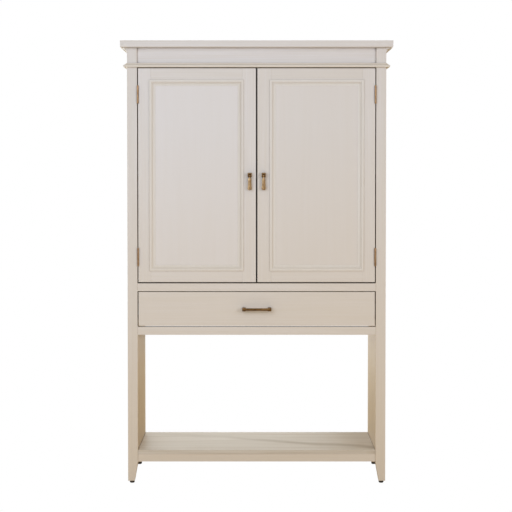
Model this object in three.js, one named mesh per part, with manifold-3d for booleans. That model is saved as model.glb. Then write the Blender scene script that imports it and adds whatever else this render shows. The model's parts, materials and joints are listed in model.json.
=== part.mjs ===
// A tall painted storage cabinet: two framed doors over one drawer, an open bay and a low shelf,
// on four legs with tapered feet. Millimetres, +Z up, front face towards -Y.
// The origin is on the floor, in the middle of the cabinet's outer box.
import * as THREE from 'three';
import { mergeVertices } from 'three/addons/utils/BufferGeometryUtils.js';
import Module from 'manifold-3d';

const wasm = await Module();
wasm.setup();

// ---- Driving dimensions ----
const HEIGHT = 1650;
const BODY_WIDTH = 962;
const BODY_DEPTH = 360;
const LEG_SIZE = 37;
const PULL_REACH = 30;

const CAP = { thickness: 25, sideOverhang: 23.5, frontOverhang: 27, topEase: 2, bottomEase: 4 };
const COVE = { width: 22, height: 14, lip: 1.5 };
// The astragal's seat and nose, and where the hollow above them starts and ends.
const BEAD = {
  height: 16.5, reach: 13.5, seat: 7, nose: 4.5, noseTop: 7.5, shoulder: [10, 9],
  hollow: [4.5, 11.5], fillet: 2,
};
const FOOT = { size: 24.5, taperStart: 81 };
const GLIDE = { radius: 9.25, height: 9, inset: 14.25, chamfer: 2 };

const BOARD = 18;
const FACE_BOARD = 20;
const BACK_THICKNESS = 6;

// Heights of the horizontal members above the floor.
const LOW_RAIL = [81, 109];
const LOW_SHELF = [109, 124.5];
const BOTTOM_RAIL = [557, 587];
const MIDDLE_RAIL = [720, 749.5];
const DOOR_HEAD = 1552;
const ADJUSTABLE_SHELF = [1140, 1158];
const SHELF_CLEARANCE = { front: 5, back: 2 };
const FRIEZE_RECESS = 9;
const LOW_SHELF_SETBACK = 2;
const LOW_RAIL_SETBACK = 3;

const DOOR = {
  sideGap: 3.5, centreGap: 5.5, topGap: 3, bottomGap: 4.5,
  hingeStile: 47, lockStile: 51, topRail: 48, bottomRail: 47,
};
const PANEL = { recess: 8, thickness: 6, grooveDepth: 8, play: 0.25 };
// The door moulding crests over its lap, then sweeps down to a thin foot on the panel.
const MOULDING = {
  width: 22.5, lap: 5.5, crest: 4.5, roundOver: 2, crestEnd: 5, crestFall: 0.25, sweep: 6, foot: 1,
};

const DRAWER = {
  topGap: 2.5, bottomGap: 3.5, boxWidth: 862, boxDepth: 300, boxBase: 605, boxTop: 695, wall: 12,
  bottom: 5.5, bottomRise: 6, groove: 6,
};
const SLIDE = {
  length: 288, gauge: 1.25, channel: 42, runner: 30, nest: 11, centre: 650, setback: 2,
};

// The pin stands in front of the doors and a little to the door's side of the gap.
const HINGE = {
  height: 63.5, knuckles: 5, knuckleGap: 0.25, radius: 3.5, bore: 1.75, reach: 22, leaf: 1.25,
  standoff: 3.75, offset: 1, faceClearance: 0.25,
};
const HINGE_HEIGHTS = { lower: 848, upper: 1452 };
const PIN = { radius: 1.5, head: 2.75, headHeight: 3.25, ease: 0.5 };

const DROP = {
  x: 26, pivot: 1150.5, standoff: 12, eye: 5, bore: 2, tongue: 5.5, thickness: 6,
  top: 10, neck: 6, waist: 5, waistDrop: 24, flare: 8, corner: 7, bottom: 53.5,
};
const POST = {
  width: 14.5, base: 1144.5, top: 1161, reach: 19, slot: 6.5, slotTop: 1156.5, slotClearance: 1.5,
  pin: 1.5, pinEnd: 2,
};
const BAR = { width: 108, post: 12, postHeight: 12.5, bar: 9, depth: 9 };

const ROUND_SIDES = 24;
const CURVE_SIDES = 5;
const MOULDING_SIDES = 6;
// How far a cutter runs past the face that it cuts through.
const OVERRUN = 1;

// ---- Derived planes ----
const DEPTH = BODY_DEPTH + PULL_REACH;
const BACK = DEPTH / 2;
const FRONT = BACK - BODY_DEPTH;
const OUTER = BODY_WIDTH / 2;
const INNER = OUTER - LEG_SIZE;
const CAP_BASE = HEIGHT - CAP.thickness;
const FACE_BACK = FRONT + FACE_BOARD;
const BACK_FACE = BACK - BACK_THICKNESS;
const LEG_BACKS = { front: FRONT + LEG_SIZE, rear: BACK - LEG_SIZE };

const HINGE_X = INNER - DOOR.sideGap / 2 - HINGE.offset;
const DOOR_EDGE = INNER - DOOR.sideGap;
const DOOR_LOCK = DOOR.centreGap / 2;
const DOOR_BASE = MIDDLE_RAIL[1] + DOOR.bottomGap;
const DOOR_TOP = DOOR_HEAD - DOOR.topGap;
const SIGHT = {
  x: [DOOR_LOCK + DOOR.lockStile, DOOR_EDGE - DOOR.hingeStile],
  z: [DOOR_BASE + DOOR.bottomRail, DOOR_TOP - DOOR.topRail],
};
const PANEL_Y = [FRONT + PANEL.recess, FRONT + PANEL.recess + PANEL.thickness];
const GROOVE_Y = [PANEL_Y[0] - PANEL.play, PANEL_Y[1] + PANEL.play];

// ---- Finishes ----
const FINISH = {
  paint: { color: 0xd4cbc2, roughness: 0.55, metalness: 0 },
  drawerWood: { color: 0xc9b28a, roughness: 0.6, metalness: 0 },
  backBoard: { color: 0xc8beb2, roughness: 0.7, metalness: 0 },
  brass: { color: 0xa5875f, roughness: 0.4, metalness: 1 },
  bronze: { color: 0x5c482d, roughness: 0.45, metalness: 1 },
  steel: { color: 0xb9bcbf, roughness: 0.35, metalness: 1 },
  nylon: { color: 0x322b23, roughness: 0.6, metalness: 0 },
};

// ---- Shape helpers ----
const X = new THREE.Vector3(1, 0, 0);
const Y = new THREE.Vector3(0, 1, 0);
const Z = new THREE.Vector3(0, 0, 1);
const MINUS_Y = new THREE.Vector3(0, -1, 0);
const TURN = {
  x: new THREE.Matrix4().makeBasis(Y, Z, X),
  y: new THREE.Matrix4().makeBasis(X, Z, MINUS_Y),
  z: new THREE.Matrix4(),
};

/** A box between two corners, given as a range on each axis. */
function box([x0, x1], [y0, y1], [z0, z1]) {
  const geometry = new THREE.BoxGeometry(x1 - x0, y1 - y0, z1 - z0);
  return geometry.translate((x0 + x1) / 2, (y0 + y1) / 2, (z0 + z1) / 2);
}

/** A shape through straight points. */
function outline(points) {
  return new THREE.Shape(points.map(([a, b]) => new THREE.Vector2(a, b)));
}

/** A shape pushed along x (drawn in y, z), along y (drawn in x, z) or along z (drawn in x, y). */
function prism(shape, along, [from, to]) {
  const geometry = new THREE.ExtrudeGeometry(shape, {
    depth: to - from, bevelEnabled: false, curveSegments: CURVE_SIDES,
  });
  geometry.translate(0, 0, along === 'y' ? -to : from);
  return geometry.applyMatrix4(TURN[along]);
}

/** A turned shape about the z axis, from an outline of [radius, height] points. */
function turned(points) {
  const profile = points.map(([radius, height]) => new THREE.Vector2(radius, height));
  return new THREE.LatheGeometry(profile, ROUND_SIDES).applyMatrix4(TURN.y);
}

/** A round bar along x or z through the origin. */
function roundBar(radius, length, along) {
  const geometry = new THREE.CylinderGeometry(radius, radius, length, ROUND_SIDES);
  return along === 'z' ? geometry.applyMatrix4(TURN.y) : geometry.rotateZ(Math.PI / 2);
}

/** The merged vertices and triangles of a geometry, as a solid for joining and cutting. */
function solid(geometry) {
  const bare = geometry.clone();
  bare.deleteAttribute('normal');
  bare.deleteAttribute('uv');
  const merged = mergeVertices(bare);
  return new wasm.Manifold(new wasm.Mesh({
    numProp: 3,
    vertProperties: new Float32Array(merged.attributes.position.array),
    triVerts: new Uint32Array(merged.index.array),
  }));
}

/** A solid's surface as a geometry. */
function surface(body) {
  const mesh = body.getMesh();
  const geometry = new THREE.BufferGeometry();
  geometry.setAttribute('position', new THREE.BufferAttribute(mesh.vertProperties, 3));
  geometry.setIndex(new THREE.BufferAttribute(mesh.triVerts, 1));
  return geometry;
}

function joined(...geometries) {
  return surface(geometries.map(solid).reduce((sum, next) => sum.add(next)));
}

function cut(geometry, ...cutters) {
  return surface(cutters.map(solid).reduce((rest, next) => rest.subtract(next), solid(geometry)));
}

/** What two prisms that cross at right angles have in common, so that their profiles meet in mitres. */
function crossed(first, second) {
  return surface(solid(first).intersect(solid(second)));
}

/** The mirror image across x = 0, with its faces still pointing out. */
function mirrored(geometry) {
  const image = geometry.index ? geometry.toNonIndexed() : geometry.clone();
  const place = image.attributes.position;
  for (let corner = 0; corner < place.count; corner += 3) {
    const second = [place.getX(corner + 1), place.getY(corner + 1), place.getZ(corner + 1)];
    place.setXYZ(corner + 1, place.getX(corner + 2), place.getY(corner + 2), place.getZ(corner + 2));
    place.setXYZ(corner + 2, ...second);
    for (let point = corner; point < corner + 3; point += 1) {
      place.setX(point, -place.getX(point));
    }
  }
  return image;
}

/**
 * A mitred ring round a rectangle. The profile's points are [inset, rise]: the distance in from
 * the rectangle's edge, and the height of the surface above the rectangle's plane.
 */
function mitredRing(profile, [a0, a1], [b0, b1]) {
  const corners = profile.flatMap(([inset, rise]) => [
    [a0 + inset, b0 + inset, rise],
    [a1 - inset, b0 + inset, rise],
    [a1 - inset, b1 - inset, rise],
    [a0 + inset, b1 - inset, rise],
  ]);
  const triangles = [];
  profile.forEach((_, ring) => {
    const next = ((ring + 1) % profile.length) * 4;
    for (let side = 0; side < 4; side += 1) {
      const turn = (side + 1) % 4;
      triangles.push(ring * 4 + side, ring * 4 + turn, next + turn);
      triangles.push(ring * 4 + side, next + turn, next + side);
    }
  });
  const geometry = new THREE.BufferGeometry();
  geometry.setAttribute('position', new THREE.Float32BufferAttribute(corners.flat(), 3));
  geometry.setIndex(triangles);
  return geometry;
}

// ---- Assembly helpers ----
const cabinet = new THREE.Group();
const SIDES = [['left', -1], ['right', 1]];

function add(name, geometry, finish, at = [0, 0, 0]) {
  const piece = new THREE.Mesh(geometry, new THREE.MeshStandardMaterial(finish));
  piece.name = name;
  piece.position.set(...at);
  cabinet.add(piece);
}

/** Adds a piece drawn for the right side, and its mirror image on the left. */
function addPair(nameOf, geometry, finish, [x, y, z] = [0, 0, 0]) {
  for (const [side, sign] of SIDES) {
    add(nameOf(side), sign < 0 ? mirrored(geometry) : geometry, finish, [sign * x, y, z]);
  }
}

// ---- Cap, frieze and mouldings ----
/** Half of a board's cross-section with both edges eased, closed across the other end. */
function easedEdge(tip, end, base, top, bottomEase, topEase) {
  const inward = Math.sign(end - tip);
  const shape = new THREE.Shape();
  shape.moveTo(end, base);
  shape.lineTo(tip + inward * bottomEase, base);
  shape.quadraticCurveTo(tip, base, tip, base + bottomEase);
  shape.lineTo(tip, top - topEase);
  shape.quadraticCurveTo(tip, top, tip + inward * topEase, top);
  shape.lineTo(end, top);
  return shape;
}

function capBoard() {
  const reach = OUTER + CAP.sideOverhang;
  const section = (tip, end) => easedEdge(tip, end, CAP_BASE, HEIGHT, CAP.bottomEase, CAP.topEase);
  const front = prism(section(FRONT - CAP.frontOverhang, BACK), 'x', [-reach, reach]);
  const depth = [FRONT - CAP.frontOverhang, BACK];
  const sides = joined(
    prism(section(reach, -1), 'y', depth),
    prism(section(-reach, 1), 'y', depth),
  );
  return crossed(front, sides);
}

function coveProfile() {
  const base = CAP_BASE - COVE.height;
  const shape = new THREE.Shape();
  shape.moveTo(OUTER, base);
  shape.lineTo(OUTER + COVE.lip, base);
  shape.quadraticCurveTo(
    OUTER + COVE.lip, CAP_BASE - COVE.lip,
    OUTER + COVE.width, CAP_BASE - COVE.lip,
  );
  shape.lineTo(OUTER + COVE.width, CAP_BASE);
  shape.lineTo(OUTER, CAP_BASE);
  return shape;
}

/** The astragal's profile: a hollow above a rounded nose, as [outward reach, height] points. */
function beadProfile() {
  const { height, reach, seat, nose, noseTop, shoulder, hollow, fillet } = BEAD;
  const shape = new THREE.Shape();
  shape.moveTo(0, 0);
  shape.lineTo(seat, 0);
  shape.quadraticCurveTo(reach, 0, reach, nose);
  shape.quadraticCurveTo(reach, noseTop, ...shoulder);
  shape.quadraticCurveTo(...hollow, fillet, height);
  shape.lineTo(0, height);
  return shape.getPoints(CURVE_SIDES).slice(0, -1);
}

/** The astragal runs across the front and back along both sides, with mitres at the front. */
function astragal() {
  const reach = OUTER + BEAD.reach;
  const behind = BACK + BEAD.reach * 2;
  const profile = beadProfile().map((point) => [BEAD.reach - point.x, DOOR_HEAD + point.y]);
  const ring = mitredRing(profile, [-reach, reach], [FRONT - BEAD.reach, behind]);
  const cutter = box(
    [-reach - OVERRUN, reach + OVERRUN],
    [BACK, behind + OVERRUN],
    [DOOR_HEAD - OVERRUN, HEIGHT],
  );
  return cut(ring, cutter);
}

add('cap_board', capBoard(), FINISH.paint);
addPair((side) => `cove_moulding_${side}`, prism(coveProfile(), 'y', [FRONT, BACK]), FINISH.paint);
add('astragal_moulding', astragal(), FINISH.paint);

const beadTop = DOOR_HEAD + BEAD.height;
const friezeSection = outline([
  [FRONT, DOOR_HEAD], [FACE_BACK, DOOR_HEAD], [FACE_BACK, CAP_BASE],
  [FRONT + FRIEZE_RECESS, CAP_BASE], [FRONT + FRIEZE_RECESS, beadTop], [FRONT, beadTop],
]);
add('frieze_board', prism(friezeSection, 'x', [-INNER, INNER]), FINISH.paint);

// ---- Legs, glides, sides and back ----
/** The right front leg: square, with its two inner faces tapered towards the foot. */
function leg() {
  const taper = LEG_SIZE - FOOT.size;
  const base = GLIDE.height;
  const across = outline([
    [OUTER, base], [OUTER, CAP_BASE], [INNER, CAP_BASE], [INNER, FOOT.taperStart],
    [INNER + taper, base],
  ]);
  const inward = LEG_BACKS.front;
  const along = outline([
    [FRONT, base], [inward - taper, base], [inward, FOOT.taperStart], [inward, CAP_BASE],
    [FRONT, CAP_BASE],
  ]);
  return crossed(prism(across, 'y', [FRONT, inward]), prism(along, 'x', [INNER, OUTER]));
}

/** The same leg turned round to stand at the back, so that its taper faces the front. */
function turnedToBack(geometry) {
  const halfTurn = new THREE.Matrix4().makeScale(-1, -1, 1);
  return mirrored(geometry).applyMatrix4(halfTurn).translate(0, FRONT + BACK, 0);
}

const frontLeg = leg();
addPair((side) => `leg_front_${side}`, frontLeg, FINISH.paint);
addPair((side) => `leg_rear_${side}`, turnedToBack(frontLeg), FINISH.paint);

const glide = turned([
  [0, 0], [GLIDE.radius - GLIDE.chamfer, 0], [GLIDE.radius, GLIDE.chamfer],
  [GLIDE.radius, GLIDE.height], [0, GLIDE.height],
]);
const glideX = OUTER - GLIDE.inset;
addPair((side) => `glide_front_${side}`, glide, FINISH.nylon, [glideX, FRONT + GLIDE.inset, 0]);
addPair((side) => `glide_rear_${side}`, glide, FINISH.nylon, [glideX, BACK - GLIDE.inset, 0]);

// A side panel is flush with the legs' inner faces, and a rail on its top backs the mouldings.
const sideSection = outline([
  [INNER, LOW_RAIL[0]], [INNER + BOARD, LOW_RAIL[0]], [INNER + BOARD, DOOR_HEAD],
  [OUTER, DOOR_HEAD], [OUTER, CAP_BASE], [INNER, CAP_BASE],
]);
addPair(
  (side) => `side_panel_${side}`,
  prism(sideSection, 'y', [LEG_BACKS.front, LEG_BACKS.rear]),
  FINISH.paint,
);
const across = [-INNER, INNER];
add('back_panel', box(across, [BACK_FACE, BACK], [BOTTOM_RAIL[0], CAP_BASE]), FINISH.backBoard);

// ---- Rails, deck and shelves ----
const deckHeight = [MIDDLE_RAIL[1] - BOARD, MIDDLE_RAIL[1]];
const shelfDepth = [FACE_BACK + SHELF_CLEARANCE.front, BACK_FACE - SHELF_CLEARANCE.back];
const lowRailFront = FRONT + LOW_RAIL_SETBACK;
add('middle_rail', box(across, [FRONT, FACE_BACK], MIDDLE_RAIL), FINISH.paint);
add('lower_rail', box(across, [FRONT, FACE_BACK], BOTTOM_RAIL), FINISH.paint);
add('cabinet_deck', box(across, [FACE_BACK, BACK_FACE], deckHeight), FINISH.paint);
add('adjustable_shelf', box(across, shelfDepth, ADJUSTABLE_SHELF), FINISH.paint);
add('low_shelf_board', box(across, [FRONT + LOW_SHELF_SETBACK, BACK], LOW_SHELF), FINISH.paint);
add('low_shelf_rail', box(across, [lowRailFront, lowRailFront + BOARD], LOW_RAIL), FINISH.paint);

// ---- Doors ----
const RAIL_INNER = { top: SIGHT.z[1], bottom: SIGHT.z[0] };

/** A stile with a groove along the edge that faces the panel. */
function stile(x0, x1, grooveX) {
  return cut(
    box([x0, x1], [FRONT, FACE_BACK], [DOOR_BASE, DOOR_TOP]),
    box(grooveX, GROOVE_Y, [DOOR_BASE - OVERRUN, DOOR_TOP + OVERRUN]),
  );
}

/** A rail between the stiles, grooved for the panel, with a tongue into each stile's groove. */
function rail([z0, z1], grooveZ, tongueZ) {
  const tongueReach = PANEL.grooveDepth - PANEL.play;
  const tongueX = [SIGHT.x[0] - tongueReach, SIGHT.x[1] + tongueReach];
  return joined(
    cut(
      box(SIGHT.x, [FRONT, FACE_BACK], [z0, z1]),
      box([SIGHT.x[0] - OVERRUN, SIGHT.x[1] + OVERRUN], GROOVE_Y, grooveZ),
    ),
    box(tongueX, PANEL_Y, tongueZ),
  );
}

/** The moulding laps over the door's frame, crests, and slopes down to the panel. */
function doorMoulding() {
  const { width, lap, crest, roundOver, crestEnd, crestFall, sweep, foot } = MOULDING;
  const footTop = foot - PANEL.recess;
  const shape = new THREE.Shape();
  shape.moveTo(0, 0);
  shape.lineTo(0, crest - roundOver);
  shape.quadraticCurveTo(0, crest, roundOver, crest);
  shape.lineTo(crestEnd, crest - crestFall);
  shape.bezierCurveTo(crestEnd + sweep, crest - foot, crestEnd + sweep, footTop, width, footTop);
  shape.lineTo(width, -PANEL.recess);
  shape.lineTo(lap + PANEL.play, -PANEL.recess);
  shape.lineTo(lap + PANEL.play, 0);
  const profile = shape.getPoints(MOULDING_SIDES).map((point) => [point.x, point.y]);
  const ring = mitredRing(
    profile,
    [SIGHT.x[0] - lap, SIGHT.x[1] + lap],
    [SIGHT.z[0] - lap, SIGHT.z[1] + lap],
  );
  return ring.applyMatrix4(TURN.y).translate(0, FRONT, 0);
}

const depthIn = PANEL.grooveDepth;
const rim = PANEL.grooveDepth - 2 * PANEL.play;
const doorPieces = {
  hinge_stile: stile(SIGHT.x[1], DOOR_EDGE, [SIGHT.x[1] - OVERRUN, SIGHT.x[1] + depthIn]),
  lock_stile: stile(DOOR_LOCK, SIGHT.x[0], [SIGHT.x[0] - depthIn, SIGHT.x[0] + OVERRUN]),
  top_rail: rail(
    [RAIL_INNER.top, DOOR_TOP],
    [RAIL_INNER.top - OVERRUN, RAIL_INNER.top + depthIn],
    [RAIL_INNER.top + depthIn + PANEL.play, DOOR_TOP],
  ),
  bottom_rail: rail(
    [DOOR_BASE, RAIL_INNER.bottom],
    [RAIL_INNER.bottom - depthIn, RAIL_INNER.bottom + OVERRUN],
    [DOOR_BASE, RAIL_INNER.bottom - depthIn - PANEL.play],
  ),
  panel: box([SIGHT.x[0] - rim, SIGHT.x[1] + rim], PANEL_Y, [SIGHT.z[0] - rim, SIGHT.z[1] + rim]),
  moulding: doorMoulding(),
};
for (const [piece, geometry] of Object.entries(doorPieces)) {
  addPair((side) => `${side}_door_${piece}`, geometry, FINISH.paint);
}

// ---- Butt hinges ----
const knucklePitch = (HINGE.height + HINGE.knuckleGap) / HINGE.knuckles;
const knuckleHeight = knucklePitch - HINGE.knuckleGap;

/** A leaf whose outer face is at x = face from the pin, with the knuckles whose numbers are given. */
function leaf(face, numbers) {
  const half = HINGE.height / 2;
  const plate = [face - HINGE.leaf, face];
  const plateFront = HINGE.standoff + HINGE.faceClearance;
  const parts = [box(plate, [plateFront, HINGE.reach], [-half, half])];
  for (const number of numbers) {
    const base = -half + number * knucklePitch;
    const knuckle = roundBar(HINGE.radius, knuckleHeight, 'z');
    parts.push(knuckle.translate(0, 0, base + knuckleHeight / 2));
    parts.push(box(plate, [0, plateFront + HINGE.faceClearance], [base, base + knuckleHeight]));
  }
  return cut(joined(...parts), roundBar(HINGE.bore, HINGE.height + 2 * OVERRUN, 'z'));
}

function hingePin() {
  const half = HINGE.height / 2;
  const lowerHead = -half - HINGE.knuckleGap;
  const dome = PIN.headHeight / 2;
  return turned([
    [0, lowerHead - PIN.headHeight],
    [PIN.radius + PIN.ease, lowerHead - PIN.headHeight + PIN.ease],
    [PIN.head, lowerHead - dome], [PIN.head, lowerHead], [PIN.radius, lowerHead],
    [PIN.radius, half], [PIN.head, half], [PIN.head, half + dome],
    [PIN.radius + PIN.ease, half + PIN.headHeight - PIN.ease], [0, half + PIN.headHeight],
  ]);
}

const frameLeaf = leaf(DOOR.sideGap / 2 + HINGE.offset, [0, 2, 4]);
const doorLeaf = mirrored(leaf(DOOR.sideGap / 2 - HINGE.offset, [1, 3]));
const pin = hingePin();
for (const [level, height] of Object.entries(HINGE_HEIGHTS)) {
  const at = [HINGE_X, FRONT - HINGE.standoff, height];
  addPair((side) => `${side}_${level}_hinge_frame_leaf`, frameLeaf, FINISH.brass, at);
  addPair((side) => `${side}_${level}_hinge_door_leaf`, doorLeaf, FINISH.brass, at);
  addPair((side) => `${side}_${level}_hinge_pin`, pin, FINISH.brass, at);
}

// ---- Door pulls: a forked post with a pendant that hangs from its cross pin ----
function pullPost() {
  const half = POST.width / 2;
  const slot = POST.slot / 2;
  const slotBack = -DROP.standoff + DROP.eye + POST.slotClearance;
  const fork = cut(
    box([-half, half], [-POST.reach, 0], [POST.base, POST.top]),
    box([-slot, slot], [-POST.reach - OVERRUN, slotBack], [POST.base - OVERRUN, POST.slotTop]),
  );
  const crossPin = roundBar(POST.pin, POST.slot + 2 * POST.pinEnd, 'x');
  return joined(fork, crossPin.translate(0, -DROP.standoff, DROP.pivot));
}

/** The pendant hangs from an eye at the origin: a slim tongue, then a blade that widens downwards. */
function pullPendant() {
  const { neck, waist, waistDrop, flare, corner, bottom, top } = DROP;
  const blade = new THREE.Shape();
  blade.moveTo(-neck, -top);
  blade.quadraticCurveTo(-waist, -waistDrop, -flare, corner - bottom);
  blade.quadraticCurveTo(-flare, -bottom, 0, -bottom);
  blade.quadraticCurveTo(flare, -bottom, flare, corner - bottom);
  blade.quadraticCurveTo(waist, -waistDrop, neck, -top);
  const faces = [-DROP.thickness / 2, DROP.thickness / 2];
  const half = DROP.tongue / 2;
  return cut(
    joined(
      prism(blade, 'y', faces),
      box([-half, half], faces, [-top - OVERRUN, 0]),
      roundBar(DROP.eye, DROP.tongue, 'x'),
    ),
    roundBar(DROP.bore, DROP.tongue + 2 * OVERRUN, 'x'),
  );
}

addPair((side) => `${side}_pull_post`, pullPost(), FINISH.bronze, [DROP.x, FRONT, 0]);
const pivotAt = [DROP.x, FRONT - DROP.standoff, DROP.pivot];
addPair((side) => `${side}_pull_pendant`, pullPendant(), FINISH.brass, pivotAt);

// ---- Drawer ----
const DRAWER_Z = [BOTTOM_RAIL[1] + DRAWER.bottomGap, MIDDLE_RAIL[0] - DRAWER.topGap];
const boxOuter = DRAWER.boxWidth / 2;
const boxInner = boxOuter - DRAWER.wall;
const boxRear = FACE_BACK + DRAWER.boxDepth;
const bottomBase = DRAWER.boxBase + DRAWER.bottomRise;
const bottomZ = [bottomBase, bottomBase + DRAWER.bottom];
const bottomGroove = [bottomZ[0] - PANEL.play, bottomZ[1] + PANEL.play];
const bottomEdge = DRAWER.groove - PANEL.play;

function drawerFront() {
  const grooveX = [-boxInner - DRAWER.groove, boxInner + DRAWER.groove];
  const grooveY = [FACE_BACK - DRAWER.groove, FACE_BACK + OVERRUN];
  return cut(
    box([-DOOR_EDGE, DOOR_EDGE], [FRONT, FACE_BACK], DRAWER_Z),
    box(grooveX, grooveY, bottomGroove),
  );
}

function drawerSide() {
  const grooveX = [boxInner - OVERRUN, boxInner + DRAWER.groove];
  const grooveY = [FACE_BACK - OVERRUN, boxRear + OVERRUN];
  return cut(
    box([boxInner, boxOuter], [FACE_BACK, boxRear], [DRAWER.boxBase, DRAWER.boxTop]),
    box(grooveX, grooveY, bottomGroove),
  );
}

add('drawer_front', drawerFront(), FINISH.paint);
addPair((side) => `drawer_side_${side}`, drawerSide(), FINISH.drawerWood);
add(
  'drawer_back',
  box([-boxInner, boxInner], [boxRear - DRAWER.wall, boxRear], [bottomGroove[1], DRAWER.boxTop]),
  FINISH.drawerWood,
);
add(
  'drawer_bottom',
  box([-boxInner - bottomEdge, boxInner + bottomEdge], [FACE_BACK - bottomEdge, boxRear], bottomZ),
  FINISH.drawerWood,
);

/** A bar across two square posts, pushed forward from the drawer's face. */
function drawerPull() {
  const half = BAR.width / 2;
  const middle = (DRAWER_Z[0] + DRAWER_Z[1]) / 2;
  const tip = FRONT - PULL_REACH;
  const postZ = [middle - BAR.postHeight / 2, middle + BAR.postHeight / 2];
  return joined(
    box([-half, half], [tip, tip + BAR.depth], [middle - BAR.bar / 2, middle + BAR.bar / 2]),
    box([-half, -half + BAR.post], [tip, FRONT], postZ),
    box([half - BAR.post, half], [tip, FRONT], postZ),
  );
}
add('drawer_pull', drawerPull(), FINISH.bronze);

/** A pressed channel along y: a web at x = web and two flanges that reach towards x = tip. */
function channel(web, tip, height) {
  const gauge = Math.sign(tip - web) * SLIDE.gauge;
  const [low, high] = [SLIDE.centre - height / 2, SLIDE.centre + height / 2];
  return prism(outline([
    [web, low], [tip, low], [tip, low + SLIDE.gauge], [web + gauge, low + SLIDE.gauge],
    [web + gauge, high - SLIDE.gauge], [tip, high - SLIDE.gauge], [tip, high], [web, high],
  ]), 'y', [0, SLIDE.length]);
}
addPair(
  (side) => `slide_channel_${side}`,
  channel(INNER, INNER - SLIDE.nest, SLIDE.channel),
  FINISH.steel,
  [0, FACE_BACK + SLIDE.setback, 0],
);
addPair(
  (side) => `slide_runner_${side}`,
  channel(boxOuter, boxOuter + SLIDE.nest, SLIDE.runner),
  FINISH.steel,
  [0, FACE_BACK, 0],
);

export default cabinet;
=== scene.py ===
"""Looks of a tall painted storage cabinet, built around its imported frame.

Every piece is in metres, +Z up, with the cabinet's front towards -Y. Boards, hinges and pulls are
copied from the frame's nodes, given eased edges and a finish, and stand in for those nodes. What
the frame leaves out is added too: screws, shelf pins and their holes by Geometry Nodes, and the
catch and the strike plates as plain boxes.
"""
from __future__ import annotations

import json
import logging
import math
import random
from dataclasses import dataclass, field
from enum import Enum

import bmesh
import bpy
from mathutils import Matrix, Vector

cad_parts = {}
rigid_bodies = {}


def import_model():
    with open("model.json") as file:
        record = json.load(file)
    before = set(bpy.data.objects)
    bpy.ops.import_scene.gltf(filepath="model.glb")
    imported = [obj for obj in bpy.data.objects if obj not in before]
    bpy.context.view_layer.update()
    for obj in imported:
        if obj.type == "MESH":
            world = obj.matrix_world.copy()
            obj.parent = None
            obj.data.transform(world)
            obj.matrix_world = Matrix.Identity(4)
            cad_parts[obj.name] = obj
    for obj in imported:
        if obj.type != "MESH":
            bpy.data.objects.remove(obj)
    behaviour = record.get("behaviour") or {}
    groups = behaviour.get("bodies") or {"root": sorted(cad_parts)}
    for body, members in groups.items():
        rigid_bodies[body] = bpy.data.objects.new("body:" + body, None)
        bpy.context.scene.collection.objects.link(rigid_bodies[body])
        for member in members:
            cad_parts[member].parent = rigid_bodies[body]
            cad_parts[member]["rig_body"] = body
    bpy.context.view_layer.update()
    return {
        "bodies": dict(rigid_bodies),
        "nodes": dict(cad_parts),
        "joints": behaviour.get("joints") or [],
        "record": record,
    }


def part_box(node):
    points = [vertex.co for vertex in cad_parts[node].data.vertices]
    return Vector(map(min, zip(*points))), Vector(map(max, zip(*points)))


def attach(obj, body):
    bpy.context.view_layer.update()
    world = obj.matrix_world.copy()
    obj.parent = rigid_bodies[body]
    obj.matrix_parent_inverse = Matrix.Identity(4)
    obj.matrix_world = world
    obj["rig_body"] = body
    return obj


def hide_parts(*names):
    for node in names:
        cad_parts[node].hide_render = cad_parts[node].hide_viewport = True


log = logging.getLogger("cabinet")

MM = 0.001
GRAIN_UV = "grain"
TONE = "tone"
EDGE = "edge"
BAY_TINT = "wash"
FACING = "facing"

Socket = bpy.types.NodeSocket
Tree = bpy.types.NodeTree
Mesh = bpy.types.Mesh
Material = bpy.types.Material
Piece = bpy.types.Object
Shape = bmesh.types.BMesh
Span = tuple[float, float]
Direction = tuple[float, float, float]

WELD = 0.01 * MM  # corners closer than this are one corner
FLAT_ANGLE = 0.5  # degrees between faces that count as one face
CREASE_ANGLE = 32.0  # degrees over which an edge is sharp
SAME_WAY = 0.9  # cosine over which a face counts as looking one way
PATTERN_REACH = 20.0  # metres of pattern that the boards' starts are spread over
TONE_SPREAD = 0.25  # the most that one board's tone differs
OCCLUSION_SAMPLES = 6
NOISE_SPAN = (0.35, 0.65)  # most of a noise's values lie in here
WIDE_NOISE_SPAN = (0.3, 0.7)
UPPER_NOISE_SPAN = (0.4, 0.7)

SCREW_SIDES = 24
PIN_SIDES = 20
HOLE_SIDES = 16
HEAD_TAPER = 0.82  # a screw head's top radius, as a share of its radius
RECESS_LENGTH = 1.1  # a cross recess's length and width, as shares of the head's radius
RECESS_WIDTH = 0.28
PEG_RADIUS = 2.4 * MM
HOLE_RADIUS = 2.5 * MM
PLATE_THICKNESS = 1 * MM


class Axis(Enum):
    """The direction that a board's grain runs in."""

    X = 0
    Y = 1
    Z = 2


class Side(Enum):
    """Left and right as seen from the front."""

    LEFT = -1
    RIGHT = 1

    @property
    def word(self) -> str:
        """The side's name in node names."""
        return self.name.lower()


# ---- Small helpers ----
def linear(hex_colour: str) -> tuple[float, float, float, float]:
    """Turns an sRGB hex colour into linear RGBA.

    Args:
        hex_colour: Six hex digits after a hash.

    Returns:
        Linear red, green, blue and an alpha of 1.
    """
    values = [int(hex_colour[i : i + 2], 16) / 255 for i in (1, 3, 5)]
    red, green, blue = (v / 12.92 if v <= 0.04045 else ((v + 0.055) / 1.055) ** 2.4 for v in values)
    return (red, green, blue, 1.0)


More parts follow.
